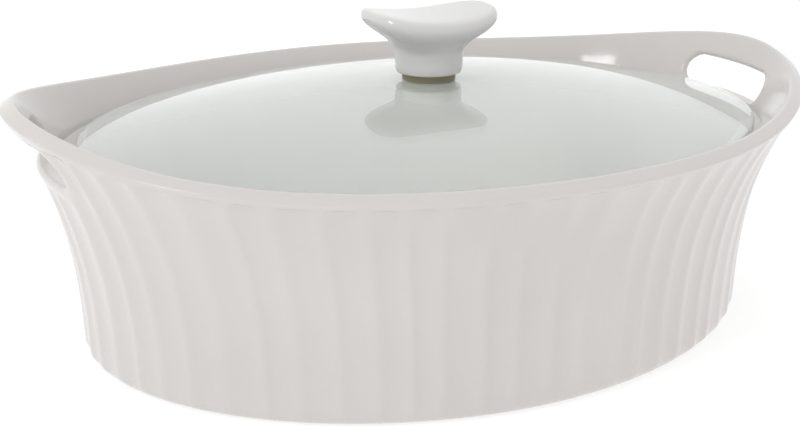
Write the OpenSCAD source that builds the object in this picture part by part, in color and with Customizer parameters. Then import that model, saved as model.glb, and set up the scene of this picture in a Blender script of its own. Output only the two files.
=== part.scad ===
// Oval covered casserole: fluted stoneware dish with two loop handles, domed glass lid, bolted knob.
// Millimetres, +Z up. Origin at the middle of the foot, +X along the long axis.

/* [Dish body] */
// outside length over the two handles
dish_length = 310; // [304:1:330]
// outside width over the rim
dish_width = 229; // [222:1:240]
// height of the rim's outer edge above the table, at the middle of the long sides
rim_height = 81.8; // [81:0.2:90]
// how much higher the rim stands at the handles
end_rise = 12.8; // [12:0.2:15]
// how tightly that rise is gathered at the handles
rise_power = 4.7; // [3.6:0.1:5.4]
// length of the body at the table
foot_length = 265.5; // [260:0.5:272]
// width of the body at the table
foot_width = 201; // [196:0.5:206]
// outward sweep of the two ends, higher keeps it nearer the rim
end_flare = 2.6; // [2.2:0.1:3.2]
// outward sweep of the long sides
side_flare = 4.2; // [3.6:0.1:5]
// roundness of the oval, 2 is an ellipse
oval_power = 1.94; // [1.9:0.01:2.05]
// radius round the bottom edge
base_radius = 6; // [4:0.5:8]
// height of the hollow under the foot
foot_recess = 1.2; // [0.6:0.1:2]
// width of the ring that the dish stands on
foot_ring = 9; // [6:0.5:14]

/* [Flutes] */
// number of upright flutes
flute_count = 60; // [44:4:60]
// depth of each flute
flute_depth = 1.0; // [0.5:0.1:1.3]
// plain strip between the flutes and the rim edge
rim_band = 1.6; // [1:0.1:3]

/* [Inside] */
// wall at the rim, square to its slope
rim_wall = 5.8; // [5:0.1:6.2]
// thickness of the floor
floor_thickness = 7; // [5:0.5:9]
// radius between floor and wall
floor_radius = 12; // [10:1:22]
// wall at the foot
foot_wall = 7.5; // [6:0.5:9]
// height of the ledge that carries the lid
ledge_height = 73.7; // [72.5:0.1:74]
// how far the ledge reaches under the lid
ledge_width = 4.5; // [3.5:0.5:6]

/* [Handle openings] */
// length of each finger opening
opening_length = 57; // [48:1:60]
// height of each finger opening
opening_height = 12.2; // [11.8:0.1:12.6]
// bottom of each opening above the table
opening_base = 74.8; // [74.6:0.1:75.2]
// corner radius of the opening
opening_corner = 5.6; // [3:0.1:5.8]
// rounding where the opening meets the wall
opening_round = 2.6; // [1.5:0.1:2.8]
// rounding of the sill inside, where it meets the ledge
sill_round = 0.5; // [0.3:0.1:0.6]
// plain border round the opening, where the flutes stop
opening_border = 3.5; // [3:0.5:6]
// how much nearer to the middle each end of the opening is on the inside
opening_taper = 2.5; // [0:0.5:5]
// how much lower the top of the opening is on the inside
opening_drop = 0.8; // [0:0.1:1.8]

/* [Glass lid] */
// thickness of the glass
glass_thickness = 4; // [3.5:0.1:4.5]
// rise of the dome above the edge of the glass
dome_rise = 15; // [11:0.5:18]
// fullness of the dome
dome_power = 2.05; // [2:0.05:2.8]
// gap round the lid at the long sides
side_gap = 1.2; // [0.9:0.1:1.6]
// gap round the lid at the two ends
end_gap = 6.3; // [5:0.1:8]
// play between the lid and its ledge
seat_gap = 0.3; // [0.3:0.05:0.5]
// how far the lid lies off the middle of the dish, along +X
lid_offset = 1.8; // [0:0.1:2]
// radius of the hole for the knob screw
glass_hole_radius = 5.4; // [5.3:0.1:6]

/* [Knob] */
// length of the knob
knob_length = 49.8; // [46:0.2:56]
// width of the knob
knob_width = 37.6; // [35:0.2:42]
// height of the knob at its raised ends
knob_height = 23.4; // [21.6:0.2:26]
// upturn of the two ends above the middle
knob_upturn = 3.2; // [2:0.1:4.5]
// radius of the stem just above the seal
stem_radius = 12.7; // [12.2:0.1:13]
// squareness of the knob seen from above, 2 is an ellipse
knob_power = 2.85; // [2.3:0.05:3.3]

/* [Knob fixing] */
// outside radius of the threaded insert
insert_radius = 4; // [3.6:0.1:4.4]
// length of the threaded insert
insert_length = 13; // [11:0.5:14]
// radius of the screw shank
shank_radius = 2.4; // [2:0.1:2.5]
// radial clearance between the round fixing pieces
fixing_gap = 0.1; // [0.05:0.01:0.15]
// outside radius of the seal above the glass
top_seal_radius = 10.1; // [9.6:0.1:10.3]
// height of the seal above the glass
top_seal_height = 3.4; // [2.4:0.1:3.8]
// outside radius of the seal below the glass
under_seal_radius = 9.6; // [8.6:0.1:10]
// height of the seal below the glass
under_seal_height = 2; // [1.5:0.1:2.5]
// outside radius of the cup washer
washer_radius = 9.6; // [8.6:0.1:10]
// height of the cup washer
washer_height = 4.2; // [3.6:0.1:4.6]
// thickness of the cup washer's wall
washer_thickness = 1.2; // [1:0.1:1.4]
// radius of the screw head
head_radius = 4.7; // [4.2:0.1:5.2]
// height of the screw head
head_height = 3; // [2.4:0.1:3.6]

/* [Hidden] */

// sides of the round fixing pieces
round_sides = 48;
// columns of facets in one flute
flute_columns = 3;
columns = flute_columns * flute_count;
// share of a rounding's radius that the middle of its arc is set in
arc_mid = 1 - cos(45);

rim_a = dish_length / 2;
rim_b = dish_width / 2;
foot_a = foot_length / 2;
foot_b = foot_width / 2;

// ---- shape of the dish wall ----

function spow(v, e) = sign(v) * pow(abs(v), e);
function crest(t) = rim_height + end_rise * pow(abs(cos(t)), rise_power);
function half_len(s) = foot_a + (rim_a - foot_a) * pow(s, end_flare);
function half_wid(s) = foot_b + (rim_b - foot_b) * pow(s, side_flare);
function oval(t, a, b, z) = [
    a * spow(cos(t), 2 / oval_power),
    b * spow(sin(t), 2 / oval_power),
    z
];

// point on the outer wall at angle t and height z, set in by d
function wall_point(t, z, d) = let (s = z / crest(t)) oval(t, half_len(s) - d, half_wid(s) - d, z);

// outward direction of the oval in plan, and how fast the wall moves outward with height
function outward(t) = [rim_b * cos(t), rim_a * sin(t)] / norm([rim_b * cos(t), rim_a * sin(t)]);
function slope(t, z) = [for (i = [0, 1]) wall_point(t, z, 0)[i] - wall_point(t, z - 1, 0)[i]] * outward(t);

// the wall is measured square to its slope, so it is wider in plan where it flares
function plan_wall(t, z) = rim_wall * sqrt(1 + pow(slope(t, z), 2));
function inner_point(t, z) = wall_point(t, z, plan_wall(t, z));

// point on the rim, from its outer edge: in across the thickness and down along the wall
function rim_point(t, across, down, inset) =
    let (g = atan(slope(t, crest(t))))
    let (edge = wall_point(t, crest(t), inset))
    let (out = outward(t) * (-across * cos(g) - down * sin(g)))
    [edge.x + out.x, edge.y + out.y, edge.z + across * sin(g) - down * cos(g)];

// angles that space the flutes evenly along the foot
arc_step = 2;
arc_table = [
    for (
        i = 0, length = 0;
        i <= 360 / arc_step;
        length = length + norm(
            oval((i + 1) * arc_step, foot_a, foot_b, 0) - oval(i * arc_step, foot_a, foot_b, 0)
        ),
        i = i + 1
    ) [length, i * arc_step]
];
arc_total = arc_table[len(arc_table) - 1][0];
angles = [for (i = [0 : columns - 1]) lookup(arc_total * i / columns, arc_table)];

// 0 on the plain border round a finger opening, 1 away from it
border_fade = 1.5;
opening_middle = opening_base + opening_height / 2;
function clear_of_opening(p) =
    let (dy = max(0, abs(p.y) - opening_length / 2 + opening_corner))
    let (dz = max(0, abs(p.z - opening_middle) - opening_height / 2 + opening_corner))
    let (d = norm([dy, dz]) - opening_corner - opening_border)
    abs(p.x) < rim_b ? 1 : max(0, min(1, d / border_fade));

// flute inset for column i at height z: nothing on the ridge, full depth in the channel
function flute(i, z) =
    i % flute_columns == 0 ? 0 : flute_depth * clear_of_opening(wall_point(angles[i], z, 0));

// ---- rings of the dish, from the foot, up the outside, over the rim and down the inside ----

base_steps = [30, 60, 90];
wall_levels = [0.22, 0.4, 0.55, 0.66, 0.75, 0.83, 0.9];
band_step = 1.2;
outer_round = 0.9;
inner_round = 1.5;
inner_levels = [0.97, 0.6, 0.06];
cavity_levels = [0.5];
floor_steps = [0, 30, 60, 90];

ledge_a = inner_point(0, ledge_height).x;
ledge_b = inner_point(90, ledge_height).y;
lid_a = ledge_a - end_gap;
lid_b = ledge_b - side_gap;
cavity_a = lid_a - ledge_width;
cavity_b = lid_b - ledge_width;
floor_a = foot_a - foot_wall;
floor_b = foot_b - foot_wall;

function cavity_ring(z) =
    let (k = (z - floor_thickness) / (ledge_height - floor_thickness))
    [for (t = angles) oval(t, floor_a + (cavity_a - floor_a) * k, floor_b + (cavity_b - floor_b) * k, z)];

rings = concat(
    [[for (t = angles) oval(
        t, foot_a - base_radius - foot_ring - 1, foot_b - base_radius - foot_ring - 1, foot_recess
    )]],
    [[for (t = angles) oval(t, foot_a - base_radius - foot_ring, foot_b - base_radius - foot_ring, 0)]],
    [[for (t = angles) oval(t, foot_a - base_radius, foot_b - base_radius, 0)]],
    [for (q = base_steps) [
        for (i = [0 : columns - 1]) wall_point(
            angles[i],
            base_radius * (1 - cos(q)),
            base_radius * (1 - sin(q)) + flute(i, 0) * pow(sin(q), 4)
        )
    ]],
    [for (s = wall_levels) [
        for (i = [0 : columns - 1])
            let (z = s * crest(angles[i]))
            wall_point(angles[i], z, flute(i, z))
    ]],
    [[for (i = [0 : columns - 1])
        rim_point(angles[i], 0, rim_band + band_step, flute(i, crest(angles[i]) - rim_band))
    ]],
    [[for (t = angles) rim_point(t, 0, rim_band, 0)]],
    [[for (t = angles) rim_point(t, 0, outer_round, 0)]],
    [[for (t = angles) rim_point(t, arc_mid * outer_round, arc_mid * outer_round, 0)]],
    [[for (t = angles) rim_point(t, outer_round, 0, 0)]],
    [[for (t = angles) rim_point(t, rim_wall - inner_round, 0, 0)]],
    [[for (t = angles) rim_point(t, rim_wall - arc_mid * inner_round, arc_mid * inner_round, 0)]],
    [for (k = inner_levels) [
        for (t = angles) inner_point(t, ledge_height + (crest(t) - ledge_height) * k)
    ]],
    [[for (t = angles) wall_point(t, ledge_height, plan_wall(t, ledge_height) + 0.4)]],
    [[for (t = angles) oval(t, cavity_a + 0.8, cavity_b + 0.8, ledge_height)]],
    [cavity_ring(ledge_height - 0.8)],
    [for (k = cavity_levels) cavity_ring(
        floor_thickness + floor_radius + (ledge_height - floor_thickness - floor_radius) * k
    )],
    [for (q = floor_steps) [
        for (p = cavity_ring(floor_thickness + floor_radius * (1 - sin(q))))
            let (k = floor_radius * (1 - cos(q)), r = norm([p.x, p.y]))
            [p.x * (r - k) / r, p.y * (r - k) / r, p.z]
    ]]
);

// ---- finger openings ----

corner_sides = 6;
round_steps = [12, 38, 64, 90];

// distance from the middle plane to the outer wall at a given side offset and height
function side_angle(y, b) = asin(pow(min(1, abs(y) / b), oval_power / 2));
function outer_x(y, z) =
    let (t1 = side_angle(y, half_wid(z / crest(10))))
    let (t2 = side_angle(y, half_wid(z / crest(t1))))
    half_len(z / crest(t2)) * pow(cos(t2), 2 / oval_power);

// outline of the opening, taken in by a share of its taper (0 outside, 1 inside) and grown by a share
// of the local rounding: [side offset, height, rounding];
// the rounding goes from low at the sill to opening_round at the top
function opening_outline(share, low, taken_in) =
    let (half = opening_length / 2 - opening_taper * taken_in)
    let (rise = (opening_height - opening_drop * taken_in) / 2)
    let (corner = min(opening_corner, rise - 0.1))
    [
        for (c = [0 : 3], j = [0 : corner_sides])
            let (a = 90 * c + 90 * j / corner_sides)
            let (sy = (c == 0 || c == 3) ? 1 : -1, sz = (c < 2) ? 1 : -1)
            let (round = low + (opening_round - low) * (1 + sin(a)) / 2)
            let (e = round * share)
            [
                sy * (half - corner) + (corner + e) * cos(a),
                opening_base + rise + sz * (rise - corner) + (corner + e) * sin(a),
                round
            ]
    ];

// loops of the cutter from the inside of the dish to the outside
function inside_loop(q, out) = [
    for (p = opening_outline(1 - sin(q), sill_round, 1))
        [outer_x(p[0], p[1]) - plan_wall(0, p[1]) - out + p[2] * (1 - cos(q)), p[0], p[1]]
];
function outside_loop(q, out) = [
    for (p = opening_outline(1 - sin(q), opening_round, 0))
        [outer_x(p[0], p[1]) + out - p[2] * (1 - cos(q)), p[0], p[1]]
];
opening_loops = concat(
    [inside_loop(round_steps[0], 12)],
    [for (q = round_steps) inside_loop(q, 0)],
    [for (k = [3 : -1 : 0]) outside_loop(round_steps[k], 0)],
    [outside_loop(round_steps[0], 12)]
);

// closed skin over a stack of rings, capped at both ends
module skin(stack) {
    n = len(stack[0]);
    m = len(stack);
    polyhedron(
        points = [for (ring = stack) for (p = ring) p],
        faces = concat(
            [[for (i = [0 : n - 1]) i]],
            [
                for (j = [0 : m - 2], i = [0 : n - 1])
                    [j * n + i, (j + 1) * n + i, (j + 1) * n + (i + 1) % n, j * n + (i + 1) % n]
            ],
            [[for (i = [n - 1 : -1 : 0]) (m - 1) * n + i]]
        ),
        convexity = 8
    );
}

// ---- glass lid ----

glass_edge_base = ledge_height + seat_gap;
glass_edge_top = glass_edge_base + glass_thickness;
glass_top = glass_edge_top + dome_rise;
glass_under = glass_top - glass_thickness;
// flat seat for the two seals round the hole, as a share of the lid's half width
seat_margin = 0.5;
seat_share = (max(top_seal_radius, under_seal_radius) + seat_margin) / lid_b;
dome_levels = [0, seat_share, 0.16, 0.3, 0.43, 0.55, 0.66, 0.76, 0.85, 0.93];
glass_edge_round = 0.8;
glass_sides = 96;

function dome(r) = r <= seat_share ? dome_rise : dome_rise * (1 - pow(r, dome_power));

glass_profile = concat(
    [for (r = dome_levels) [lid_a * r, glass_edge_top + dome(r)]],
    [
        [lid_a - glass_edge_round, glass_edge_top + dome(1 - glass_edge_round / lid_a)],
        [lid_a, glass_edge_top - glass_edge_round],
        [lid_a, glass_edge_base + glass_edge_round],
        [lid_a - glass_edge_round, glass_edge_base]
    ],
    [for (k = [len(dome_levels) - 1 : -1 : 0]) [
        lid_a * dome_levels[k], glass_edge_base + dome(dome_levels[k])
    ]]
);

// ---- knob and its fixing ----

seal_lift = 0.02;
knob_base = glass_top + top_seal_height + 2 * seal_lift;
under_seal_top = glass_under - seal_lift;
washer_top = under_seal_top - under_seal_height - seal_lift;
head_top = washer_top - washer_thickness - seal_lift;
screw_length = knob_base + insert_length - 2 - head_top;
bore_radius = shank_radius + fixing_gap;

knob_sides = 64;
knob_a = knob_length / 2;
knob_b = knob_width / 2;
knob_mid = knob_height - knob_upturn;

// each row: share of half length, of half width, of the middle height, of the upturn and of the
// squareness; the stem rows are a radius and a height
stem_rows = [
    [stem_radius - 1.6, 0],
    [stem_radius - 0.5, 0.35],
    [stem_radius, 1.4],
    [stem_radius + 0.6, 5.8],
    [stem_radius + 1.3, 10.3]
];
flare_rows = [
    [0.6, 0.787, 0.55, 0.05, 0.3],
    [0.76, 0.825, 0.6, 0.68, 0.65],
    [0.885, 0.88, 0.655, 0.94, 0.9],
    [0.96, 0.945, 0.73, 1, 1],
    [1, 1, 0.85, 1, 1],
    [0.99, 0.98, 0.94, 1, 1],
    [0.95, 0.915, 0.995, 1, 1],
    [0.8, 0.76, 1.018, 0.72, 1],
    [0.58, 0.54, 1.024, 0.385, 1],
    [0.32, 0.3, 1.026, 0.12, 1],
    [0.1, 0.09, 1.027, 0.01, 1]
];
knob_rings = concat(
    [for (row = stem_rows) [
        for (i = [0 : knob_sides - 1])
            let (t = 360 * i / knob_sides)
            [row[0] * cos(t), row[0] * sin(t), row[1]]
    ]],
    [for (row = flare_rows) [
        for (i = [0 : knob_sides - 1])
            let (t = 360 * i / knob_sides)
            let (e = 2 / (2 + (knob_power - 2) * row[4]))
            let (across = spow(cos(t), e))
            [
                knob_a * row[0] * across,
                knob_b * row[1] * spow(sin(t), e),
                knob_mid * row[2] + knob_upturn * row[3] * pow(across, 2)
            ]
    ]]
);

// places a piece on the lid's upright axis, with its base at height z
module on_lid(z) {
    translate([lid_offset, 0, z]) {
        children();
    }
}

// flat ring on the lid's axis with its base at height z
module ring(outer, inner, z, height) {
    on_lid(z) {
        difference() {
            cylinder(r = outer, h = height, $fn = round_sides);
            translate([0, 0, -1]) {
                cylinder(r = inner, h = height + 2, $fn = round_sides);
            }
        }
    }
}

// ---- sub-parts ----

module dish() {
    color([0.86, 0.84, 0.82]) {
        difference() {
            skin(rings);
            skin(opening_loops);
            rotate([0, 0, 180]) {
                skin(opening_loops);
            }
        }
    }
}

module lid_glass() {
    color([0.75, 0.82, 0.78, 0.5]) {
        on_lid(0) {
            difference() {
                scale([1, lid_b / lid_a, 1]) {
                    rotate_extrude($fn = glass_sides) {
                        polygon(glass_profile);
                    }
                }
                translate([0, 0, glass_under - 10]) {
                    cylinder(r = glass_hole_radius, h = glass_thickness + 20, $fn = round_sides);
                }
            }
        }
    }
}

module knob() {
    color([0.88, 0.87, 0.86]) {
        on_lid(knob_base) {
            difference() {
                skin(knob_rings);
                translate([0, 0, -1]) {
                    cylinder(r = insert_radius + 0.02, h = insert_length + 2, $fn = round_sides);
                }
            }
        }
    }
}

module knob_insert() {
    color([0.78, 0.62, 0.32]) {
        ring(insert_radius, bore_radius, knob_base, insert_length);
    }
}

module top_seal() {
    color([0.3, 0.29, 0.24]) {
        ring(top_seal_radius, bore_radius + 0.2, glass_top + seal_lift, top_seal_height);
    }
}

module glass_sleeve() {
    color([0.8, 0.8, 0.78]) {
        ring(glass_hole_radius - fixing_gap, bore_radius + 0.2, glass_under, glass_thickness - 0.1);
    }
}

module under_seal() {
    color([0.86, 0.87, 0.85]) {
        ring(under_seal_radius, bore_radius + 0.2, under_seal_top - under_seal_height, under_seal_height);
    }
}

module washer() {
    color([0.85, 0.86, 0.84]) {
        difference() {
            ring(washer_radius, bore_radius + 0.2, washer_top - washer_height, washer_height);
            on_lid(washer_top - washer_height - 1) {
                cylinder(
                    r = washer_radius - washer_thickness,
                    h = washer_height - washer_thickness + 1,
                    $fn = round_sides
                );
            }
        }
    }
}

module screw() {
    color([0.72, 0.73, 0.75]) {
        on_lid(head_top) {
            cylinder(r = shank_radius, h = screw_length, $fn = round_sides);
            translate([0, 0, -head_height]) {
                difference() {
                    union() {
                        cylinder(
                            r1 = head_radius - 1, r2 = head_radius, h = 1, $fn = round_sides
                        );
                        translate([0, 0, 1]) {
                            cylinder(r = head_radius, h = head_height - 1, $fn = round_sides);
                        }
                    }
                    translate([-2.6, -0.5, -1]) {
                        cube([5.2, 1, 2.4]);
                    }
                    translate([-0.5, -2.6, -1]) {
                        cube([1, 5.2, 2.4]);
                    }
                }
            }
        }
    }
}

dish();
lid_glass();
knob();
knob_insert();
top_seal();
glass_sleeve();
under_seal();
washer();
screw();
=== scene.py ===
"""Covered casserole: the finished surfaces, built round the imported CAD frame. Metres, +Z up."""

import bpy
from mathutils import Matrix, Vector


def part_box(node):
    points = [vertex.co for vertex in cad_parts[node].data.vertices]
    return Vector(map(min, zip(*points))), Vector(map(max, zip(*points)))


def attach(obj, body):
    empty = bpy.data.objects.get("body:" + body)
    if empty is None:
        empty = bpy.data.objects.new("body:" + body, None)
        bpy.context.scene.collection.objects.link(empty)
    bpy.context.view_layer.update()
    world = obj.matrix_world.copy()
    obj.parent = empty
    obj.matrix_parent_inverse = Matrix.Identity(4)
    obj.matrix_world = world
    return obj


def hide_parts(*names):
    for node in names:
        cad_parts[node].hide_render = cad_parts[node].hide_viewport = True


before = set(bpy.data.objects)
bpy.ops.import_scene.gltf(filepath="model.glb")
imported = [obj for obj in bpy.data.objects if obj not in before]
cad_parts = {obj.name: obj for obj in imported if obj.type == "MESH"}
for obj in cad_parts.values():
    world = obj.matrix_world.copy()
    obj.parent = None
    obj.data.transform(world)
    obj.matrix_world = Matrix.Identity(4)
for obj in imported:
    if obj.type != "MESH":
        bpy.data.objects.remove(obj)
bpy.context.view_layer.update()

import math

import bmesh
import bpy
import numpy as np
from mathutils import Matrix, Vector

MM = 0.001

# ---------------------------------------------------------------- dimensions, millimetres
# The driving sizes of the CAD design. Lengths that the frame holds are read from it.


def cad_size(node):
    """A CAD node's middle in plan, half length, half width, bottom and top, in millimetres."""
    low, high = (np.array(corner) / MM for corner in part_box(node))
    middle, half = (low + high) / 2, (high - low) / 2
    return middle[0], half[0], half[1], low[2], high[2]


RIM_A, RIM_B = 155.0, 114.5
RIM_HEIGHT, END_RISE, RISE_POWER = 81.8, 12.8, 4.7
FOOT_A, FOOT_B = 132.75, 100.5
END_FLARE, SIDE_FLARE, OVAL_POWER = 2.6, 4.2, 1.94
BASE_RADIUS, FOOT_RECESS, FOOT_RING = 6.0, 1.2, 9.0

FLUTES, FLUTE_DEPTH, RIM_BAND = 60, 0.95, 1.5
RIM_WALL, OUTER_ROUND, INNER_ROUND = 5.8, 0.9, 1.5
FLOOR_THICKNESS, FLOOR_RADIUS, FOOT_WALL = 7.0, 12.0, 7.5
LEDGE_HEIGHT, LEDGE_EDGE = 73.7, 0.8

OPENING_LENGTH, OPENING_HEIGHT, OPENING_BASE = 57.0, 12.2, 74.8
OPENING_CORNER, OPENING_ROUND, SILL_ROUND, OPENING_BORDER = 5.6, 2.6, 0.5, 3.5
OPENING_TAPER, OPENING_DROP = 2.5, 0.8
OPENING_MIDDLE = OPENING_BASE + OPENING_HEIGHT / 2

LID_X, LID_A, LID_B, GLASS_BASE, GLASS_TOP = cad_size("lid_glass")
GLASS_THICKNESS, DOME_POWER, GLASS_HOLE, GLASS_EDGE = 4.0, 2.05, 5.4, 0.8
DOME_RISE = GLASS_TOP - GLASS_BASE - GLASS_THICKNESS
LEDGE_WIDTH, SEAL_RADIUS = 4.5, 10.1

_, KNOB_A, KNOB_B, KNOB_BASE, _ = cad_size("knob")
KNOB_HEIGHT, KNOB_UPTURN, KNOB_POWER, STEM_RADIUS = 23.4, 3.2, 2.85, 12.7


# ---------------------------------------------------------------- mesh helpers

def make_object(name, bm, body, nodes, material):
    """Links a finished bmesh, in millimetres about its body's axis, as a piece on that CAD body."""
    if body == "lid":
        bmesh.ops.translate(bm, vec=(LID_X, 0, 0), verts=bm.verts)
    bmesh.ops.scale(bm, vec=(MM,) * 3, verts=bm.verts)
    mesh = bpy.data.meshes.new(name)
    bm.to_mesh(mesh)
    bm.free()
    piece = bpy.data.objects.new(name, mesh)
    bpy.context.scene.collection.objects.link(piece)
    for polygon in mesh.polygons:
        polygon.use_smooth = True
    mesh.materials.append(material)
    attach(piece, body)
    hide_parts(*nodes)
    return piece


def add_grid(bm, rows, closed=True, skip=lambda j, i: False):
    """Adds a grid of quads over rows of points, each row an (n, 3) array."""
    verts = [[bm.verts.new(p) for p in row] for row in rows]
    count = len(rows[0])
    for j in range(len(rows) - 1):
        for i in range(count if closed else count - 1):
            if skip(j, i):
                continue
            k = (i + 1) % count
            bm.faces.new((verts[j][i], verts[j][k], verts[j + 1][k], verts[j + 1][i]))
    return verts


def add_fan(bm, ring, centre, flip=False):
    """Closes a ring of vertices with triangles to one centre point."""
    middle = bm.verts.new(centre)
    for i, vert in enumerate(ring):
        after = ring[(i + 1) % len(ring)]
        bm.faces.new((after, vert, middle) if flip else (vert, after, middle))


def weld(bm, distance=0.002):
    """Joins the patches' shared borders and turns every face outward."""
    bmesh.ops.remove_doubles(bm, verts=bm.verts, dist=distance)
    loose = [v for v in bm.verts if not v.link_faces]
    bmesh.ops.delete(bm, geom=loose, context="VERTS")
    bmesh.ops.recalc_face_normals(bm, faces=bm.faces)


def smooth_rows(rows, steps):
    """Catmull-Rom curve through rows of numbers, with a number of steps between each two."""
    rows = np.array(rows, float)
    padded = np.vstack([2 * rows[0] - rows[1], rows, 2 * rows[-1] - rows[-2]])
    out = []
    for k in range(1, len(padded) - 2):
        before, a, b, after = padded[k - 1 : k + 3]
        for u in np.arange(steps) / steps:
            out.append(
                0.5
                * (
                    2 * a
                    + (b - before) * u
                    + (2 * before - 5 * a + 4 * b - after) * u**2
                    + (3 * a - before - 3 * b + after) * u**3
                )
            )
    return np.array(out + [rows[-1]])


def arc(centre, radius, start, end, steps=6):
    """Points of a circular arc in the profile plane, angles in degrees."""
    angles = np.radians(np.linspace(start, end, steps))
    return [(centre[0] + radius * math.cos(a), centre[1] + radius * math.sin(a)) for a in angles]


def lathe(bm, profile, sides=96):
    """Turns a closed profile of (radius, height) points round the Z axis."""
    turn = np.linspace(0, 2 * np.pi, sides, endpoint=False)
    loop = list(profile) + [profile[0]]
    rows = [np.column_stack([r * np.cos(turn), r * np.sin(turn), np.full(sides, z)]) for r, z in loop]
    add_grid(bm, rows)


# ---------------------------------------------------------------- dish surfaces

def spow(value, exponent):
    """Power that keeps the sign of its value."""
    return np.sign(value) * np.abs(value) ** exponent


def crest(t):
    """Height of the rim's outer edge at angle t."""
    return RIM_HEIGHT + END_RISE * np.abs(np.cos(t)) ** RISE_POWER


def half_length(s):
    """Wall's half length at a share of the crest's height."""
    return FOOT_A + (RIM_A - FOOT_A) * s**END_FLARE


def half_width(s):
    """Wall's half width at a share of the crest's height."""
    return FOOT_B + (RIM_B - FOOT_B) * s**SIDE_FLARE


def oval(t, a, b, z):
    """Points at angles t on an oval with half length a and half width b, at height z."""
    return np.column_stack(
        [
            a * spow(np.cos(t), 2 / OVAL_POWER) + 0 * t,
            b * spow(np.sin(t), 2 / OVAL_POWER) + 0 * t,
            z + 0 * t,
        ]
    )


def wall(t, z, inset=0.0):
    """Outer wall at angle t and height z, set in by an inset."""
    s = z / crest(t)
    return oval(t, half_length(s) - inset, half_width(s) - inset, z)


def outward(t):
    """Direction in plan from the wall outward at angle t."""
    direction = np.column_stack([RIM_B * np.cos(t), RIM_A * np.sin(t)])
    return direction / np.linalg.norm(direction, axis=1, keepdims=True)


def slope(t, z):
    """How far the wall moves outward over the last millimetre of height."""
    return np.sum((wall(t, z) - wall(t, z - 1))[:, :2] * outward(t), axis=1)


def plan_wall(t, z):
    """Wall thickness measured level, more where the wall leans."""
    return RIM_WALL * np.sqrt(1 + slope(t, z) ** 2)


def inner_wall(t, z):
    """Inside of the wall above the ledge."""
    return wall(t, z, plan_wall(t, z))


def rim(t, across, down, inset=0.0):
    """The rim from its outer edge: in across the thickness and down along the wall."""
    lean = np.arctan(slope(t, crest(t)))
    edge = wall(t, crest(t), inset)
    out = -across * np.cos(lean) - down * np.sin(lean)
    edge[:, :2] += outward(t) * out[:, None]
    edge[:, 2] += across * np.sin(lean) - down * np.cos(lean)
    return edge


# arc length round the foot, which spaces the flutes evenly
ARC_ANGLES = np.linspace(0, 2 * np.pi, 721)
foot_steps = np.diff(oval(ARC_ANGLES, FOOT_A, FOOT_B, 0), axis=0)
ARC_SHARE = np.concatenate([[0], np.cumsum(np.linalg.norm(foot_steps, axis=1))])
ARC_SHARE /= ARC_SHARE[-1]


def fade(value, start, end):
    """0 up to start, 1 from end on, with a smooth change between."""
    u = np.clip((value - start) / (end - start), 0, 1)
    return u * u * (3 - 2 * u)


def border_distance(y, z):
    """Distance in the opening's plane from the opening's outline, negative inside it."""
    dy = np.maximum(0, np.abs(y) - OPENING_LENGTH / 2 + OPENING_CORNER)
    dz = np.maximum(0, np.abs(z - OPENING_MIDDLE) - OPENING_HEIGHT / 2 + OPENING_CORNER)
    return np.hypot(dy, dz) - OPENING_CORNER


# spacing of the ribs, how far a rib's side reaches, how much lower a channel's top is beside a rib, and
# the height over which a channel fades out under the rim
PITCH, RIB_WIDTH, ARCH_DROP, CHANNEL_FADE = 12.2, 2.9, 2.0, 1.3

# uneven spacing of the ribs: size as a part of one space, waves round the dish and start in radians
SPACING_WAVES = ((0.11, 7, 1.1), (0.06, 17, 2.3), (0.04, 29, 0.0))


def flute_place(share):
    """Place along the row of flutes, whole numbers at the ribs, at a share of the way round."""

    def sway(u):
        return sum(size * np.sin(2 * np.pi * waves * u + start) for size, waves, start in SPACING_WAVES)

    return share * FLUTES + sway(share) - sway(0.0)


def flute_inset(t, z):
    """Depth of the channels between the ribs at angle t and height z, with arched tops."""
    place = flute_place(np.interp(t % (2 * np.pi), ARC_ANGLES, ARC_SHARE))
    off_rib = np.abs(place - np.round(place))
    channel = 1 - np.exp(-((off_rib * PITCH / RIB_WIDTH) ** 2))
    channel *= 0.9 + 0.1 * np.sin(2.4 * np.round(place - 0.5))
    below_rim = crest(t) - z - ARCH_DROP * np.abs(1 - 2 * off_rib) ** 3
    shape = channel * fade(below_rim, RIM_BAND, RIM_BAND + CHANNEL_FADE)
    point = wall(t, z)
    beside = fade(border_distance(point[:, 1], z), OPENING_BORDER, OPENING_BORDER + 3)
    at_end = np.abs(point[:, 0]) > RIM_B
    return FLUTE_DEPTH * shape * np.where(at_end, beside, 1.0)


def fluted_wall(t, z):
    """Outer wall with its channels."""
    return wall(t, z, flute_inset(t, z))


# ---------------------------------------------------------------- dish mesh

# where the mesh columns lie between one rib and the next, closer together beside the rib
FLUTE_STEPS = (0, 0.05, 0.1, 0.155, 0.22, 0.31, 0.5, 0.69, 0.78, 0.845, 0.9, 0.95)
column_places = [k + step for k in range(FLUTES) for step in FLUTE_STEPS]
way_round = np.linspace(0, 1, 6001)
column_shares = np.interp(column_places, flute_place(way_round), way_round)
COLUMNS = np.interp(column_shares, ARC_SHARE, ARC_ANGLES)

CAVITY_A, CAVITY_B = LID_A - LEDGE_WIDTH, LID_B - LEDGE_WIDTH
FLOOR_A, FLOOR_B = FOOT_A - FOOT_WALL, FOOT_B - FOOT_WALL

# rows of the outer wall that the blocks round the openings lie between, as shares of the crest
OUTER_LEVELS = np.concatenate([np.linspace(0.1, 0.72, 20), np.linspace(0.735, 0.966, 17)])
OUTER_BLOCK = (0.735, 0.966)
BLOCK_SIDE = 37.0

# the inner wall's rows run from this gap above the ledge to this share of the crest
SILL_GAP, INNER_TOP = 0.3, 0.985
INNER_LEVELS = np.linspace(0, 1, 13)


def inner_row(t, k):
    """Inner wall, k from 0 just above the ledge to 1 just under the rim's rounding."""
    low = LEDGE_HEIGHT + SILL_GAP
    return inner_wall(t, low + (crest(t) * INNER_TOP - low) * k)


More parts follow.
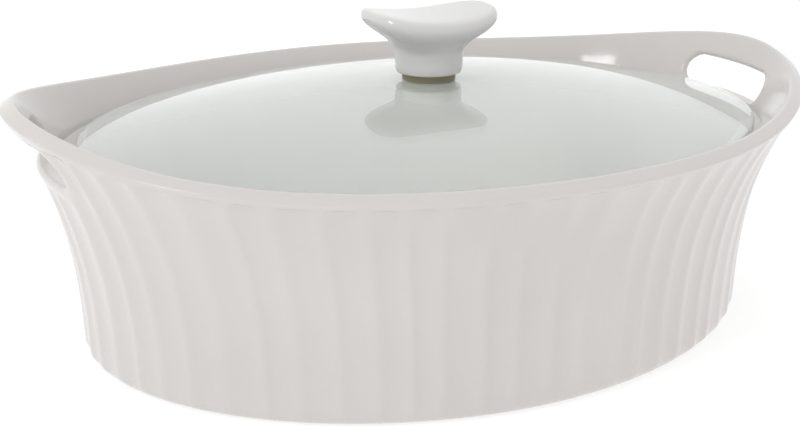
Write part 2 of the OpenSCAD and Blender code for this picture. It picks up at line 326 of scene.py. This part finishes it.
def cavity_ring(t, z, inset=0.0):
    """Ring of the cooking space below the ledge at height z."""
    k = (z - FLOOR_THICKNESS) / (LEDGE_HEIGHT - FLOOR_THICKNESS)
    a = FLOOR_A + (CAVITY_A - FLOOR_A) * k - inset
    b = FLOOR_B + (CAVITY_B - FLOOR_B) * k - inset
    return oval(t, a, b, z)


def dish_rows(t):
    """Every row of the dish from the hollow foot, up the outside, over the rim and down to the floor."""
    ring_a, ring_b = FOOT_A - BASE_RADIUS - FOOT_RING, FOOT_B - BASE_RADIUS - FOOT_RING
    foot = [oval(t, ring_a * k, ring_b * k, FOOT_RECESS) for k in (0.05, 0.4, 0.75, 0.96)]
    foot += [
        oval(t, ring_a + d, ring_b + d, z)
        for d, z in ((-0.9, FOOT_RECESS), (-0.3, 0.7), (0.3, 0.25), (1.2, 0), (5, 0), (FOOT_RING, 0))
    ]
    base = []
    for q in np.radians((12, 25, 38, 51, 64, 77)):
        z = BASE_RADIUS * (1 - math.cos(q))
        depth = flute_inset(t, np.full_like(t, BASE_RADIUS)) * math.sin(q) ** 4
        base.append(wall(t, np.full_like(t, z), BASE_RADIUS * (1 - math.sin(q)) + depth))
    outer = [fluted_wall(t, s * crest(t)) for s in OUTER_LEVELS]
    high = [
        rim(t, 0, down, flute_inset(t, crest(t) - down))
        for down in (2.6, 2.2, 1.8, 1.4, 1.15)
    ]
    edge = [
        rim(t, OUTER_ROUND * (1 - math.cos(q)), OUTER_ROUND * (1 - math.sin(q)))
        for q in np.radians((0, 22, 45, 68, 90))
    ]
    face = [rim(t, across, 0) for across in (1.8, 2.9, 3.7)]
    lip = [
        rim(t, RIM_WALL - INNER_ROUND * (1 - math.sin(q)), INNER_ROUND * (1 - math.cos(q)))
        for q in np.radians((0, 18, 36, 54, 72, 90))
    ]
    inner = [inner_row(t, k) for k in INNER_LEVELS[::-1]]
    ledge = [
        wall(t, LEDGE_HEIGHT + dz, plan_wall(t, LEDGE_HEIGHT) + d)
        for d, dz in ((0.02, 0.2), (0.1, 0.06), (0.3, 0))
    ]
    ledge += [
        oval(t, CAVITY_A + d, CAVITY_B + d, LEDGE_HEIGHT + dz)
        for d, dz in ((LEDGE_EDGE, 0), (0.4, -0.06), (0.12, -0.3), (0, -LEDGE_EDGE))
    ]
    heights = np.linspace(LEDGE_HEIGHT - 3, FLOOR_THICKNESS + FLOOR_RADIUS, 9)
    cavity = [cavity_ring(t, z) for z in heights]
    floor = []
    for q in np.radians((11, 22, 34, 45, 56, 68, 79, 90)):
        ring = cavity_ring(t, FLOOR_THICKNESS + FLOOR_RADIUS * (1 - math.sin(q)))
        radius = np.hypot(ring[:, 0], ring[:, 1])
        ring[:, :2] *= (1 - FLOOR_RADIUS * (1 - math.cos(q)) / radius)[:, None]
        floor.append(ring)
    flat = floor[-1]
    floor += [flat * (k, k, 1) for k in (0.85, 0.6, 0.3, 0.05)]
    return foot + base, outer, high + edge + face + lip, inner, ledge + cavity + floor


def solve_angle(y, z, surface):
    """Angle t, near the +X end, at which a wall surface passes a side offset y at height z."""
    t = np.arcsin(np.clip(y / RIM_B, -1, 1))
    for _ in range(12):
        reach = surface(t, z)[:, 1]
        ratio = np.abs(y) / np.maximum(np.abs(reach), 1e-9)
        sine = np.clip(np.abs(np.sin(t)) * ratio ** (OVAL_POWER / 2), 0, 1)
        t = np.where(np.abs(y) < 1e-6, 0, np.sign(y) * np.arcsin(sine))
    return t


def outline(place, growth, taken_in=0):
    """Opening's outline grown by an amount. place runs 0 to 4 from one corner's middle to the next.

    taken_in is 0 for the outside of the wall, 1 for the inside, where the opening is smaller.
    """
    corner, offset = np.floor(place).astype(int) % 4, place - np.floor(place)
    rise = (OPENING_HEIGHT - OPENING_DROP * taken_in) / 2
    radius = min(OPENING_CORNER, rise - 0.1)
    length, height = OPENING_LENGTH / 2 - OPENING_TAPER * taken_in - radius, rise - radius
    points = np.zeros((len(place), 2))
    for n in range(len(place)):
        round_ = radius + (growth[n] if np.ndim(growth) else growth)
        side = 2 * (height if corner[n] % 2 else length)
        bend = round_ * np.pi / 4
        run = offset[n] * (side + 2 * bend)
        start = 45 + 90 * corner[n]
        if run < bend:
            angle, slide = start + 45 * run / bend, 0.0
        elif run > bend + side:
            angle, slide = start + 45 + 45 * (run - bend - side) / bend, 1.0
        else:
            angle, slide = start + 45, (run - bend) / side
        signs = np.array([(1, 1), (-1, 1), (-1, -1), (1, -1), (1, 1)], float)
        centre = signs[corner[n]] * (1 - slide) + signs[corner[n] + 1] * slide
        points[n] = centre * (length, height) + round_ * np.array(
            [math.cos(math.radians(angle)), math.sin(math.radians(angle))]
        )
    return points[:, 0], points[:, 1] + OPENING_BASE + rise


def opening_patch(bm, end, outer, inner):
    """Rebuilds the wall round one finger opening. end is 1 or -1, outer and inner the block borders."""

    def place_along(border):
        """Each border point's place round the opening, 0 to 4, from the corners of its block."""
        (top, left, bottom, right) = border
        places = []
        for number, side in enumerate((top, left, bottom, right)):
            run = np.concatenate([[0], np.cumsum(np.linalg.norm(np.diff(side, axis=0), axis=1))])
            places.append(number + run[:-1] / run[-1])
        return np.concatenate(places)

    def patch(border, surface, growth, taken_in, rings):
        """Rings of points from the block's border to the grown outline, on one wall surface."""
        points = np.concatenate([side[:-1] for side in border])
        place = place_along(border)
        y1, z1 = outline(place, growth(place), taken_in)
        y0, z0 = points[:, 0], points[:, 1]
        t0, t1 = solve_angle(y0, z0, surface), solve_angle(y1, z1, surface)
        rows = []
        for w in np.linspace(0, 1, rings):
            t, z = t0 + (t1 - t0) * w, z0 + (z1 - z0) * w
            rows.append(surface(t, z))
        return rows, place

    def grow_inside(place):
        """Rounding inside: from the sill's small one to the full one at the top."""
        _, z = outline(place, 0.0, 1)
        share = (z - OPENING_BASE) / (OPENING_HEIGHT - OPENING_DROP)
        return SILL_ROUND + (OPENING_ROUND - SILL_ROUND) * share

    def mirror(rows):
        return [row * (end, end, 1) for row in rows]

    def turned(surface):
        """The same surface seen from this end, so that the flutes stay where they are."""
        if end > 0:
            return surface
        return lambda t, z: surface(t + np.pi, z) * (-1, -1, 1)

    outer_rows, place = patch(outer, turned(fluted_wall), lambda p: np.full(len(p), OPENING_ROUND), 0, 6)
    inner_rows, place_in = patch(inner, turned(inner_wall), grow_inside, 1, 6)
    add_grid(bm, mirror(outer_rows))
    add_grid(bm, mirror(inner_rows))

    # the tunnel: outer rounding, straight wall and inner rounding
    tunnel = []
    steps = np.radians(np.linspace(0, 90, 7))
    for q in steps:
        y, z = outline(place, OPENING_ROUND * (1 - math.sin(q)))
        row = wall(solve_angle(y, z, wall), z)
        row[:, 0] -= OPENING_ROUND * (1 - math.cos(q))
        tunnel.append(row)
    rounds = grow_inside(place)
    inside = []
    for q in steps:
        y, z = outline(place, rounds * (1 - math.sin(q)), 1)
        row = inner_wall(solve_angle(y, z, inner_wall), z)
        row[:, 0] += rounds * (1 - math.cos(q))
        inside.append(row)
    middle = [tunnel[-1] * (1 - w) + inside[-1] * w for w in (0.33, 0.67)]
    rows = tunnel + middle + inside[::-1]
    add_grid(bm, mirror(rows))
    return place, place_in


def build_dish(material):
    """Fluted oval dish with a pierced wall at each end."""
    bm = bmesh.new()
    t = COLUMNS
    foot, outer, top, inner, inside = dish_rows(t)
    rows = foot + outer + top + inner + inside
    count = len(t)

    # block of columns left out at each end, and the rows left out on the outer and the inner wall
    y_mid = wall(t, 0.85 * crest(t))[:, 1]
    half = int(np.argmax(y_mid > BLOCK_SIDE))
    first_outer = len(foot) + int(np.argmin(np.abs(OUTER_LEVELS - OUTER_BLOCK[0])))
    last_outer = len(foot) + int(np.argmin(np.abs(OUTER_LEVELS - OUTER_BLOCK[1])))
    first_inner = len(foot) + len(outer) + len(top) + 1
    last_inner = len(foot) + len(outer) + len(top) + len(inner) - 1

    def near_end(i):
        if i < count // 4:
            return i < half
        if i >= 3 * count // 4:
            return i >= count - half
        return count // 2 - half <= i < count // 2 + half

    def skip(j, i):
        in_rows = first_outer <= j < last_outer or first_inner <= j < last_inner
        return in_rows and near_end(i)

    verts = add_grid(bm, rows, skip=skip)
    add_fan(bm, verts[0], (0, 0, FOOT_RECESS), flip=True)
    add_fan(bm, verts[-1], (0, 0, FLOOR_THICKNESS))

    for end in (1, -1):
        start = 0 if end > 0 else count // 2
        columns = [(start + k) % count for k in range(half, -half - 1, -1)]

        def border(low, high):
            """The block's border from the top corner at +y, as four sides of (y, z) points."""
            grid = np.array([[rows[j][i] for i in columns] for j in range(low, high + 1)])
            grid = grid[:, :, 1:] * (end, 1)
            if rows[low][0][2] > rows[high][0][2]:
                grid = grid[::-1]
            return grid[-1], grid[::-1, -1], grid[0, ::-1], grid[:, 0]

        opening_patch(bm, end, border(first_outer, last_outer), border(first_inner, last_inner))
    weld(bm)
    return make_object("dish_glazed", bm, "dish_body", ["dish"], material)


# ---------------------------------------------------------------- lid and knob

def build_lid(material):
    """Domed oval pane with rounded edges and a hole for the fixing."""
    bm = bmesh.new()
    sides = 288
    turn = np.linspace(0, 2 * np.pi, sides, endpoint=False)
    flat = (SEAL_RADIUS + 0.5) / LID_B

    def pane(w, lift, inset=0.0):
        """Row of the dome, w from 0 at the hole to 1 at the edge, lifted off its lower face."""
        x = np.cos(turn) * (GLASS_HOLE + (LID_A - inset - GLASS_HOLE) * w)
        y = np.sin(turn) * (GLASS_HOLE + (LID_B - inset - GLASS_HOLE) * w)
        share = np.hypot(x / LID_A, y / LID_B)
        rise = DOME_RISE * (1 - share**DOME_POWER)
        rise += (DOME_RISE - rise) * (1 - fade(share, flat * 0.6, flat * 1.9))
        return np.column_stack([x, y, GLASS_BASE + lift + rise])

    spread = np.linspace(0, 1, 44)[1:-1]
    inset = GLASS_EDGE / LID_B
    rows = [pane(w * (1 - inset), GLASS_THICKNESS) for w in spread]
    for q in np.radians((90, 67, 45, 22, 0, -22, -45, -67, -90)):
        row = pane(1, 0, GLASS_EDGE * (1 - math.cos(q)))
        middle = GLASS_THICKNESS / 2
        row[:, 2] += middle + math.copysign(middle - GLASS_EDGE, q) * (q != 0) + GLASS_EDGE * math.sin(q)
        rows.append(row)
    rows += [pane(w * (1 - inset), 0) for w in spread[::-1]]
    for q in np.radians((-90, -45, 0)):
        ring = pane(0, 0)
        grow = 0.4 * (1 - math.cos(q))
        ring[:, :2] *= (GLASS_HOLE + grow) / GLASS_HOLE
        ring[:, 2] += 0.4 * (1 + math.sin(q))
        rows.append(ring)
    for q in np.radians((0, 45, 90)):
        ring = pane(0, GLASS_THICKNESS)
        grow = 0.4 * (1 - math.cos(q))
        ring[:, :2] *= (GLASS_HOLE + grow) / GLASS_HOLE
        ring[:, 2] -= 0.4 * (1 - math.sin(q))
        rows.append(ring)
    rows.append(rows[0])
    add_grid(bm, rows)
    weld(bm)
    return make_object("lid_pane", bm, "lid", ["lid_glass"], material)


# knob sections: stem rows add to its radius at a height; the rows above them give shares of the half
# length, half width, height in the middle, upturn at the ends and squareness
KNOB_MID = KNOB_HEIGHT - KNOB_UPTURN
FOOT_SEAT = 0.6  # how far the foot's edge reaches down round the upper seal
STEM_ROWS = (
    (-1.6, -FOOT_SEAT),
    (-0.9, 0.12 - FOOT_SEAT),
    (-0.4, 0.4 - FOOT_SEAT),
    (0.0, 1.4),
    (0.1, 3.4),
    (0.25, 5.8),
    (0.6, 8.0),
)
FLARE_ROWS = (
    (0.558, 0.739, 0.475, 0, 0.25),
    (0.652, 0.793, 0.554, 0.35, 0.6),
    (0.79, 0.862, 0.624, 0.75, 0.85),
    (0.888, 0.923, 0.683, 0.95, 1),
    (0.958, 0.976, 0.757, 1, 1),
    (1, 1, 0.85, 1, 1),
    (0.99, 0.98, 0.94, 1, 1),
    (0.95, 0.915, 0.995, 1, 1),
    (0.8, 0.76, 1.018, 0.72, 1),
    (0.58, 0.54, 1.024, 0.385, 1),
    (0.32, 0.3, 1.026, 0.12, 1),
    (0.1, 0.09, 1.027, 0.01, 1),
)
INSERT_RADIUS, INSERT_LENGTH = 4.02, 14.0


def build_knob(material):
    """Saddle-shaped knob on a round stem, with a bore for its insert."""
    bm = bmesh.new()
    turn = np.linspace(0, 2 * np.pi, 160, endpoint=False)
    sections = [(STEM_RADIUS + r, STEM_RADIUS + r, z, 0, 2) for r, z in STEM_ROWS]
    sections += [
        (KNOB_A * a, KNOB_B * b, KNOB_MID * h, KNOB_UPTURN * u, 2 + (KNOB_POWER - 2) * w)
        for a, b, h, u, w in FLARE_ROWS
    ]
    hole = [
        (radius, radius, z, 0, 2)
        for radius, z in (
            (0.4, INSERT_LENGTH),
            (INSERT_RADIUS - 0.2, INSERT_LENGTH),
            (INSERT_RADIUS, INSERT_LENGTH - 0.2),
            (INSERT_RADIUS, 0.3),
            (INSERT_RADIUS + 0.3, 0),
            (STEM_RADIUS - 2.4, 0),
            (STEM_RADIUS - 2.3, -FOOT_SEAT),
        )
    ]
    rows = []
    for a, b, z, u, power in hole + list(smooth_rows(sections, 5)):
        across, along = spow(np.cos(turn), 2 / power), spow(np.sin(turn), 2 / power)
        rows.append(np.column_stack([a * across, b * along, KNOB_BASE + z + u * across**2]))
    verts = add_grid(bm, rows)
    add_fan(bm, verts[0], (0, 0, KNOB_BASE + INSERT_LENGTH), flip=True)
    add_fan(bm, verts[-1], (0, 0, KNOB_BASE + KNOB_MID * 1.027))
    weld(bm)
    return make_object("knob_glazed", bm, "lid", ["knob"], material)


# ---------------------------------------------------------------- knob fixing

def ring_profile(outer, inner, low, high, edge):
    """Profile of a ring with rounded outer corners and softened inner ones."""
    soft = edge * 0.4
    return (
        arc((outer - edge, low + edge), edge, -90, 0)
        + arc((outer - edge, high - edge), edge, 0, 90)
        + arc((inner + soft, high - soft), soft, 90, 180, 3)
        + arc((inner + soft, low + soft), soft, 180, 270, 3)
    )


def build_ring(name, node, inner, edge, material):
    """Turned ring with rounded edges, in the place of a CAD node."""
    _, outer, _, low, high = cad_size(node)
    bm = bmesh.new()
    lathe(bm, ring_profile(outer, inner, low, high, edge))
    weld(bm)
    return make_object(name, bm, "lid", [node], material)


def build_washer(material):
    """Moulded cup washer: a flat top against the seal and a round skirt with a full lip."""
    _, outer, _, low, high = cad_size("washer")
    hole, metal, bend = 2.7, 1.2, 1.5
    bm = bmesh.new()
    lathe(
        bm,
        arc((outer - metal / 2, low + metal / 2), metal / 2, 180, 360, 9)
        + arc((outer - bend, high - bend), bend, 0, 90)
        + arc((hole + 0.2, high - 0.2), 0.2, 90, 180, 3)
        + arc((hole + 0.2, high - metal + 0.2), 0.2, 180, 270, 3)
        + arc((outer - metal - 0.5, high - metal - 0.5), 0.5, 90, 0, 4),
    )
    weld(bm)
    return make_object("washer_moulded", bm, "lid", ["washer"], material)


def build_screw(material):
    """Pan-head screw with a cross recess and a ridged thread."""
    _, head, _, low, high = cad_size("screw")
    head_top = low + 3.0
    shank = 2.4
    bm = bmesh.new()
    profile = [(0.02, low), (head - 1.6, low)]
    profile += arc((head - 1.2, low + 1.2), 1.2, -90, 0)[1:]
    profile += arc((head - 0.3, head_top - 0.3), 0.3, 0, 90, 3)
    profile += [(shank + 0.25, head_top), (shank, head_top + 0.25)]
    pitch, z = 0.8, head_top + 6.0
    while z < high - 1.2:
        profile += [(shank, z), (shank - 0.4, z + pitch * 0.5)]
        z += pitch
    profile += [(shank - 0.1, high - 0.6), (shank - 0.7, high), (0.02, high)]
    lathe(bm, profile, 64)
    weld(bm)
    piece = make_object("screw_machined", bm, "lid", ["screw"], material)
    cutter_mesh = bmesh.new()
    for angle in (0, 90):
        made = bmesh.ops.create_cube(cutter_mesh, size=1)["verts"]
        bmesh.ops.scale(cutter_mesh, vec=(5.2 * MM, 1.0 * MM, 2.8 * MM), verts=made)
        bmesh.ops.rotate(
            cutter_mesh, verts=made, cent=(0, 0, 0), matrix=Matrix.Rotation(math.radians(angle), 3, "Z")
        )
    bmesh.ops.translate(cutter_mesh, vec=(LID_X * MM, 0, low * MM), verts=cutter_mesh.verts)
    mesh = bpy.data.meshes.new("recess")
    cutter_mesh.to_mesh(mesh)
    cutter_mesh.free()
    cutter = bpy.data.objects.new("recess", mesh)
    bpy.context.scene.collection.objects.link(cutter)
    cut = piece.modifiers.new("recess", "BOOLEAN")
    cut.operation, cut.object, cut.solver, cut.use_self = "DIFFERENCE", cutter, "EXACT", True
    bpy.context.view_layer.objects.active = piece
    with bpy.context.temp_override(object=piece, active_object=piece):
        bpy.ops.object.modifier_apply(modifier=cut.name)
    bpy.data.objects.remove(cutter)
    bpy.data.meshes.remove(mesh)
    piece.data.set_sharp_from_angle(angle=math.radians(35))
    return piece


# ---------------------------------------------------------------- materials

def new_material(name):
    """A material with its nodes, links and main shader."""
    material = bpy.data.materials.new(name)
    material.use_nodes = True
    nodes = material.node_tree.nodes
    return material, nodes, material.node_tree.links, nodes["Principled BSDF"]


def noise(nodes, links, scale, detail=3.0, roughness=0.5):
    """Noise texture in object space, scale in cells per metre."""
    place = nodes.new("ShaderNodeTexCoord")
    texture = nodes.new("ShaderNodeTexNoise")
    texture.inputs["Scale"].default_value = scale
    texture.inputs["Detail"].default_value = detail
    texture.inputs["Roughness"].default_value = roughness
    links.new(place.outputs["Object"], texture.inputs["Vector"])
    return texture


def ramp(nodes, links, source, low, high):
    """Maps a 0 to 1 value to a colour or grey between two ends."""
    node = nodes.new("ShaderNodeValToRGB")
    node.color_ramp.elements[0].position = 0.3
    node.color_ramp.elements[1].position = 0.7
    node.color_ramp.elements[0].color = (*low, 1)
    node.color_ramp.elements[1].color = (*high, 1)
    links.new(source, node.inputs["Fac"])
    return node.outputs["Color"]


def level(nodes, links, source, low, high):
    """Maps a noise value to a number between low and high."""
    node = nodes.new("ShaderNodeMapRange")
    node.inputs["From Min"].default_value = 0.3
    node.inputs["From Max"].default_value = 0.7
    node.inputs["To Min"].default_value = low
    node.inputs["To Max"].default_value = high
    links.new(source, node.inputs["Value"])
    return node.outputs["Result"]


def add_bump(nodes, links, shader, source, distance, strength=1.0, before=None):
    """Adds a bump to the shader, on top of an earlier one if there is one."""
    bump = nodes.new("ShaderNodeBump")
    bump.inputs["Strength"].default_value = strength
    bump.inputs["Distance"].default_value = distance
    links.new(source, bump.inputs["Height"])
    if before is not None:
        links.new(before.outputs["Normal"], bump.inputs["Normal"])
    links.new(bump.outputs["Normal"], shader.inputs["Normal"])
    return bump


def glaze(name, low, high):
    """Glossy white glaze: slow colour drift, faint waviness and fine orange peel."""
    material, nodes, links, shader = new_material(name)
    drift = noise(nodes, links, 14, 4)
    links.new(ramp(nodes, links, drift.outputs["Fac"], low, high), shader.inputs["Base Color"])
    patches = noise(nodes, links, 55, 3)
    links.new(level(nodes, links, patches.outputs["Fac"], 0.09, 0.17), shader.inputs["Roughness"])
    waves = noise(nodes, links, 70, 2)
    peel = noise(nodes, links, 420, 2)
    wave_bump = add_bump(nodes, links, shader, waves.outputs["Fac"], 0.0006, 0.35)
    add_bump(nodes, links, shader, peel.outputs["Fac"], 0.00006, 0.5, wave_bump)
    shader.inputs["IOR"].default_value = 1.5
    shader.inputs["Specular IOR Level"].default_value = 0.42
    shader.inputs["Coat Weight"].default_value = 0.06
    shader.inputs["Coat Roughness"].default_value = 0.04
    return material


def bare_foot(material, colour):
    """Lets the unglazed body show on the knob's lowest edge, where it stood in the kiln."""
    nodes, links = material.node_tree.nodes, material.node_tree.links
    shader = nodes["Principled BSDF"]
    glazed = shader.inputs["Base Color"].links[0].from_socket
    place = nodes.new("ShaderNodeTexCoord")
    split = nodes.new("ShaderNodeSeparateXYZ")
    links.new(place.outputs["Object"], split.inputs["Vector"])
    line = nodes.new("ShaderNodeMapRange")
    line.inputs["From Min"].default_value = (KNOB_BASE - FOOT_SEAT + 0.35) * MM
    line.inputs["From Max"].default_value = (KNOB_BASE - FOOT_SEAT + 0.8) * MM
    links.new(split.outputs["Z"], line.inputs["Value"])
    mix = nodes.new("ShaderNodeMix")
    mix.data_type = "RGBA"
    mix.inputs["A"].default_value = (*colour, 1)
    links.new(line.outputs["Result"], mix.inputs["Factor"])
    links.new(glazed, mix.inputs["B"])
    links.new(mix.outputs["Result"], shader.inputs["Base Color"])


def glass(name):
    """Clear glass with a faint green cast that deepens with the path through it."""
    material, nodes, links, shader = new_material(name)
    shader.inputs["Base Color"].default_value = (0.965, 0.972, 0.958, 1)
    shader.inputs["Transmission Weight"].default_value = 0.79
    shader.inputs["IOR"].default_value = 1.5
    shader.inputs["Roughness"].default_value = 0.0
    ripple = noise(nodes, links, 18, 1)
    add_bump(nodes, links, shader, ripple.outputs["Fac"], 0.0004, 0.25)
    depth = nodes.new("ShaderNodeVolumeAbsorption")
    depth.inputs["Color"].default_value = (0.55, 0.86, 0.72, 1)
    depth.inputs["Density"].default_value = 9.0
    output = nodes["Material Output"]
    links.new(depth.outputs["Volume"], output.inputs["Volume"])
    clear = nodes.new("ShaderNodeBsdfTransparent")
    clear.inputs["Color"].default_value = (0.97, 0.98, 0.975, 1)
    path = nodes.new("ShaderNodeLightPath")
    mix = nodes.new("ShaderNodeMixShader")
    links.new(path.outputs["Is Shadow Ray"], mix.inputs["Fac"])
    links.new(shader.outputs["BSDF"], mix.inputs[1])
    links.new(clear.outputs["BSDF"], mix.inputs[2])
    links.new(mix.outputs["Shader"], output.inputs["Surface"])
    return material


def plain(name, low, high, rough, grain, depth, metallic=0.0):
    """Silicone, plastic and metal: a narrow colour range, varied roughness and a fine grain."""
    material, nodes, links, shader = new_material(name)
    tone = noise(nodes, links, 60, 3)
    links.new(ramp(nodes, links, tone.outputs["Fac"], low, high), shader.inputs["Base Color"])
    gloss = level(nodes, links, tone.outputs["Fac"], rough - 0.06, rough + 0.06)
    links.new(gloss, shader.inputs["Roughness"])
    fine = noise(nodes, links, grain, 3)
    add_bump(nodes, links, shader, fine.outputs["Fac"], depth, 0.5)
    shader.inputs["Metallic"].default_value = metallic
    return material


stoneware = glaze("stoneware_glaze", (0.598, 0.571, 0.552), (0.63, 0.606, 0.59))
knob_glaze = glaze("knob_glaze", (0.635, 0.629, 0.624), (0.665, 0.659, 0.654))
bare_foot(knob_glaze, (0.60, 0.53, 0.34))
lid_glass = glass("lid_glass")
rubber = plain("rubber", (0.19, 0.18, 0.11), (0.23, 0.22, 0.14), 0.42, 1800, 0.00004)
milky = plain("milky_silicone", (0.66, 0.68, 0.64), (0.72, 0.73, 0.70), 0.4, 1600, 0.00003)
moulded = plain("sleeve_plastic", (0.70, 0.70, 0.68), (0.76, 0.76, 0.74), 0.5, 1500, 0.00003)
cup = plain("washer_plastic", (0.74, 0.75, 0.72), (0.80, 0.81, 0.78), 0.42, 1500, 0.00003)
brass = plain("insert_brass", (0.62, 0.44, 0.18), (0.70, 0.52, 0.24), 0.28, 2200, 0.00003, 1.0)
steel = plain("fixing_steel", (0.55, 0.56, 0.57), (0.64, 0.65, 0.66), 0.3, 2600, 0.00003, 1.0)

# ---------------------------------------------------------------- pieces

build_dish(stoneware)
build_lid(lid_glass)
build_knob(knob_glaze)
build_ring("seal_upper", "top_seal", 2.7, 0.5, rubber)
build_ring("seal_lower", "under_seal", 2.7, 0.4, milky)
build_ring("sleeve_moulded", "glass_sleeve", 2.7, 0.2, moulded)
build_washer(cup)
build_ring("insert_turned", "knob_insert", 2.5, 0.3, brass)
build_screw(steel)

# ---------------------------------------------------------------- stage, light and camera

def build_floor():
    """Plain pale floor that glows a little, as a lit backdrop does."""
    mesh = bpy.data.meshes.new("floor")
    reach = 6.0
    corners = [(-reach, -reach, 0), (reach, -reach, 0), (reach, reach, 0), (-reach, reach, 0)]
    mesh.from_pydata(corners, [], [(0, 1, 2, 3)])
    floor = bpy.data.objects.new("floor", mesh)
    bpy.context.scene.collection.objects.link(floor)
    material, nodes, links, shader = new_material("floor")
    tone = noise(nodes, links, 3, 2)
    grey = ramp(nodes, links, tone.outputs["Fac"], (0.43, 0.43, 0.43), (0.45, 0.45, 0.45))
    links.new(grey, shader.inputs["Base Color"])
    shader.inputs["Emission Color"].default_value = (1, 1, 1, 1)
    shader.inputs["Emission Strength"].default_value = 0.65
    shader.inputs["Roughness"].default_value = 0.9
    shader.inputs["Specular IOR Level"].default_value = 0.0
    mesh.materials.append(material)


def area_light(name, place, target, size, power):
    """Rectangular soft light aimed at a point."""
    data = bpy.data.lights.new(name, "AREA")
    data.shape, data.size, data.size_y = "RECTANGLE", size[0], size[1]
    data.energy = power
    light = bpy.data.objects.new(name, data)
    light.location = place
    light.rotation_euler = (Vector(target) - Vector(place)).to_track_quat("-Z", "Y").to_euler()
    bpy.context.scene.collection.objects.link(light)
    return light


build_floor()
area_light("softbox_key", (-1.1, -0.45, 1.0), (0, 0, 0.06), (0.3, 0.3), 3.6)

# brightness of the studio in front of and behind the dish, and what the ceiling adds
SKY_FRONT_BACK, SKY_TOP = (0.9, 1.08), 0.0
world = bpy.data.worlds.new("studio")
world.use_nodes = True
sky, sky_links = world.node_tree.nodes, world.node_tree.links
direction = sky.new("ShaderNodeTexCoord")
split = sky.new("ShaderNodeSeparateXYZ")
sky_links.new(direction.outputs["Generated"], split.inputs["Vector"])


def sky_part(axis, start, end, low, high):
    """Part of the studio's brightness that changes smoothly along one axis."""
    part = sky.new("ShaderNodeMapRange")
    part.interpolation_type = "SMOOTHSTEP"
    for name, value in (("From Min", start), ("From Max", end), ("To Min", low), ("To Max", high)):
        part.inputs[name].default_value = value
    sky_links.new(split.outputs[axis], part.inputs["Value"])
    return part.outputs["Result"]


total = sky.new("ShaderNodeMath")
sky_links.new(sky_part("Y", -0.2, 0.8, *SKY_FRONT_BACK), total.inputs[0])
sky_links.new(sky_part("Z", 0.6, 1.0, 0.0, SKY_TOP), total.inputs[1])
sky["Background"].inputs["Color"].default_value = (1, 1, 1, 1)
sky_links.new(total.outputs["Value"], sky["Background"].inputs["Strength"])
bpy.context.scene.world = world

AZIMUTH, ELEVATION, DISTANCE, ROLL = -24.58, 20.84, 0.5323, 0.4
TARGET = Vector((0, 0, 0.0194))
azimuth, elevation, roll = (math.radians(angle) for angle in (AZIMUTH, ELEVATION, ROLL))
back = Vector(
    (
        math.sin(azimuth) * math.cos(elevation),
        -math.cos(azimuth) * math.cos(elevation),
        math.sin(elevation),
    )
)
right = Vector((math.cos(azimuth), math.sin(azimuth), 0))
up = back.cross(right)
turned_right = right * math.cos(roll) + up * math.sin(roll)
turned_up = up * math.cos(roll) - right * math.sin(roll)
camera_data = bpy.data.cameras.new("camera")
camera_data.lens, camera_data.sensor_width = 60.4, 36
camera_data.shift_x, camera_data.shift_y = -0.0288, 0.0598
camera = bpy.data.objects.new("camera", camera_data)
camera.matrix_world = Matrix.Translation(TARGET + back * DISTANCE) @ Matrix(
    (turned_right, turned_up, back)
).transposed().to_4x4()
bpy.context.scene.collection.objects.link(camera)
bpy.context.scene.camera = camera
bpy.context.scene.view_settings.view_transform = "Standard"
